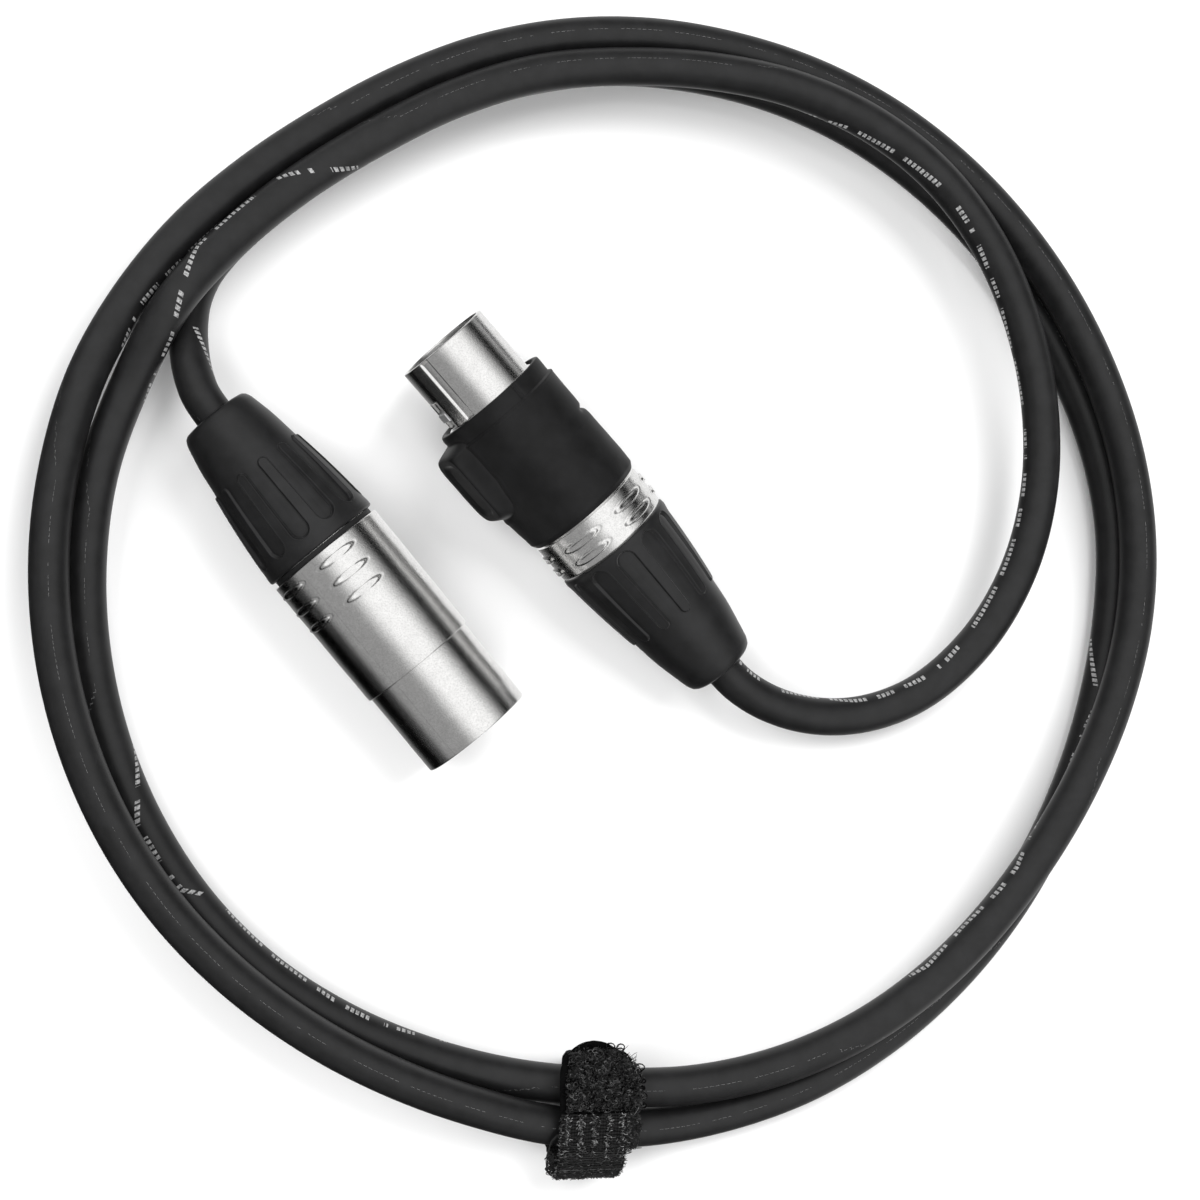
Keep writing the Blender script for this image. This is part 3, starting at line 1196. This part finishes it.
def loose_threads(rng):
    """Threads and curls on the -X side of the fold, and straighter threads on the +X side."""
    t = np.linspace(0, 1, 9)
    lines = []
    for _ in range(5):
        line = FOLD_EDGE + rng.normal(scale=0.10, size=FOLD_EDGE.shape)
        lines.append(spline_points(line, line[1] - line[0], line[-1] - line[-2], step=0.5))
    for _ in range(amount(60)):
        x, y = rng.uniform(-12.0, -11.2), rng.uniform(-94.4, -91.6)
        z = 9.6 + (y + 90.0) * 0.62
        start = rng.uniform(0, 2 * math.pi)
        angle = start + rng.uniform(2.5, 6.0) * t
        radius = rng.uniform(0.2, 0.42)
        lines.append(np.stack([x + radius * (np.cos(angle) - math.cos(start)),
                               y + radius * (np.sin(angle) - math.sin(start)),
                               z + 0.25 * np.sin(t * 6 + start)], 1))
    for x0, y0, x1, y1, z in SIDE_THREADS:
        lines.append(np.stack([x0 + (x1 - x0) * t, y0 + (y1 - y0) * t + 0.10 * np.sin(t * 7),
                               z - 0.25 * t], 1))
    return lines


# name, lines, fibre radius, material, body, slot
STRANDS = [
    ("strap_tongue_wisps", tongue_wisps, 0.042, M_PILE, "strap_tongue", "strap_pile"),
    ("strap_flap_hooks", flap_hooks, 0.062, M_HOOK, "strap_flap", "strap_fabric"),
    ("strap_flap_threads", flap_threads, 0.085, M_THREAD, "strap_flap", "strap_fabric"),
    ("strap_flap_fuzz", flap_fuzz, 0.055, M_PILE, "strap_flap", "strap_fabric"),
    ("strap_flap_fray", flap_fray, 0.04, M_HOOK, "strap_flap", "strap_fabric"),
    ("strap_band_loose_threads", loose_threads, 0.085, M_THREAD, "cable_assembly", "strap_fabric"),
]
for strand_name, draw_lines, *settings in STRANDS:
    fibres(strand_name, draw_lines(strand_rng), *settings)


# ------------------------------------------------------------------ stage
def floor():
    m = Mat("floor_white")
    m.feed("Base Color", m.mix(m.ramp(m.noise(scale=6, detail=3), [(0.3, 0.0), (0.7, 1.0)]),
                               (0.86, 0.86, 0.86), (0.88, 0.88, 0.88)))
    m.set(Roughness=0.9, Specular_IOR_Level=0.1)
    n = 40
    stations = np.linspace(-1400, 1400, n)
    points = np.array([(x, y, -0.06) for x in stations for y in stations])
    piece = make("floor", points, grid_faces(n, n), m, smooth=False)
    piece.visible_glossy = False


def world(strength):
    surroundings = bpy.data.worlds.new("world")
    bpy.context.scene.world = surroundings
    surroundings.use_nodes = True
    background = surroundings.node_tree.nodes["Background"]
    background.inputs[0].default_value = (1, 1, 1, 1)
    background.inputs[1].default_value = strength


def area_light(name, location, width, height, power):
    """A soft light aimed at the origin, hidden from reflections; metres and watts."""
    light = bpy.data.lights.new(name, "AREA")
    light.energy = power
    light.shape = "RECTANGLE"
    light.size, light.size_y = width, height
    holder = bpy.data.objects.new(name, light)
    bpy.context.scene.collection.objects.link(holder)
    holder.location = location
    holder.rotation_mode = "QUATERNION"
    holder.rotation_quaternion = (-Vector(location)).to_track_quat("-Z", "Y")
    holder.visible_glossy = False


# A plain studio for satin metal: degrees round the male connector's axis from straight up, and
# brightness. One wide overhead softbox, a black flag beside it, a white card on one side, a grey
# card and a black flag on the other.
DOME_MAX = 1.2
DOME_RADIUS = 1250.0
DOME = [(-180, 0.4), (-140, 0.0), (-100, 0.0), (-80, 0.35), (-35, 0.35), (-10, DOME_MAX),
        (25, DOME_MAX), (60, 0.0), (75, 0.0), (100, 1.0), (180, 1.0)]


def dome_material():
    m = Mat("dome_light")
    m.tree.nodes.remove(m.shader)
    direction = m.node("ShaderNodeVectorMath", operation="NORMALIZE")
    m.link(m.coord(), direction.inputs[0])
    parts = []
    for axis in (MALE["x"], MALE["y"]):
        dot = m.node("ShaderNodeVectorMath", operation="DOT_PRODUCT")
        m.link(direction.outputs["Vector"], dot.inputs[0])
        dot.inputs[1].default_value = tuple(axis)
        parts.append(dot.outputs["Value"])
    angle = m.math("ARCTAN2", *parts)
    turn = m.math("ADD", m.math("DIVIDE", angle, 2 * math.pi), 0.5)
    stops = [((degrees + 180.0) / 360.0, min(1.0, bright / DOME_MAX)) for degrees, bright in DOME]
    emission = m.node("ShaderNodeEmission")
    m.link(m.ramp(turn, stops), emission.inputs["Color"])
    emission.inputs["Strength"].default_value = DOME_MAX
    m.link(emission.outputs[0], m.tree.nodes["Material Output"].inputs["Surface"])
    m.m.cycles.emission_sampling = "NONE"
    return m


def reflection_dome():
    """A sphere that only reflections see."""
    rows, columns = 48, 96
    down, around = np.meshgrid(np.linspace(0.0, math.pi, rows),
                               np.linspace(0, 2 * math.pi, columns, endpoint=False), indexing="ij")
    points = DOME_RADIUS * np.stack([np.sin(down) * np.cos(around), np.sin(down) * np.sin(around),
                                     np.cos(down)], -1).reshape(-1, 3)
    dome = make("reflection_dome", points, grid_faces(rows, columns, wrap_columns=True),
                dome_material())
    for ray in ("camera", "diffuse", "transmission", "volume_scatter", "shadow"):
        setattr(dome, "visible_" + ray, False)


# these pieces are kept out of reflections
for part_name in ("female_collar_skin", "female_boot_skin", "female_chuck", "female_thrust_ring"):
    bpy.data.objects[part_name].visible_glossy = False
floor()
world(strength=0.48)
area_light("key", (0.35, 0.45, 0.80), width=0.60, height=0.7, power=8.5)
area_light("fill", (-0.60, 0.10, 0.70), width=0.5, height=0.6, power=4.5)
area_light("low", (0.1, -0.65, 0.75), width=0.5, height=0.5, power=4.0)
reflection_dome()


# ------------------------------------------------------------------ camera
def camera(target, distance, tilt, heading):
    """Looks at the target from above, tilted off the vertical towards the heading."""
    offset = np.array([math.sin(tilt) * math.cos(heading), math.sin(tilt) * math.sin(heading),
                       math.cos(tilt)])
    position = target + distance * offset
    forward = unit(target - position)
    right = unit(np.cross(forward, (0, 1, 0)))
    up = np.cross(right, forward)
    data = bpy.data.cameras.new("cam")
    holder = bpy.data.objects.new("cam", data)
    bpy.context.scene.collection.objects.link(holder)
    data.sensor_width = 36.0
    data.lens = 67.155
    data.shift_x, data.shift_y = 0.00583333, -0.01666667
    data.clip_start, data.clip_end = 0.01, 20      # metres
    rows = [(*row, place_on_axis) for *row, place_on_axis in zip(right, up, -forward, position * MM)]
    holder.matrix_world = Matrix((*rows, (0, 0, 0, 1)))
    bpy.context.scene.camera = holder


camera(target=np.array([-3.84, 0.75, 4.0]), distance=370.0, tilt=math.radians(14),
       heading=math.radians(205))
view = bpy.context.scene.view_settings
view.view_transform = "Standard"
view.look = "None"
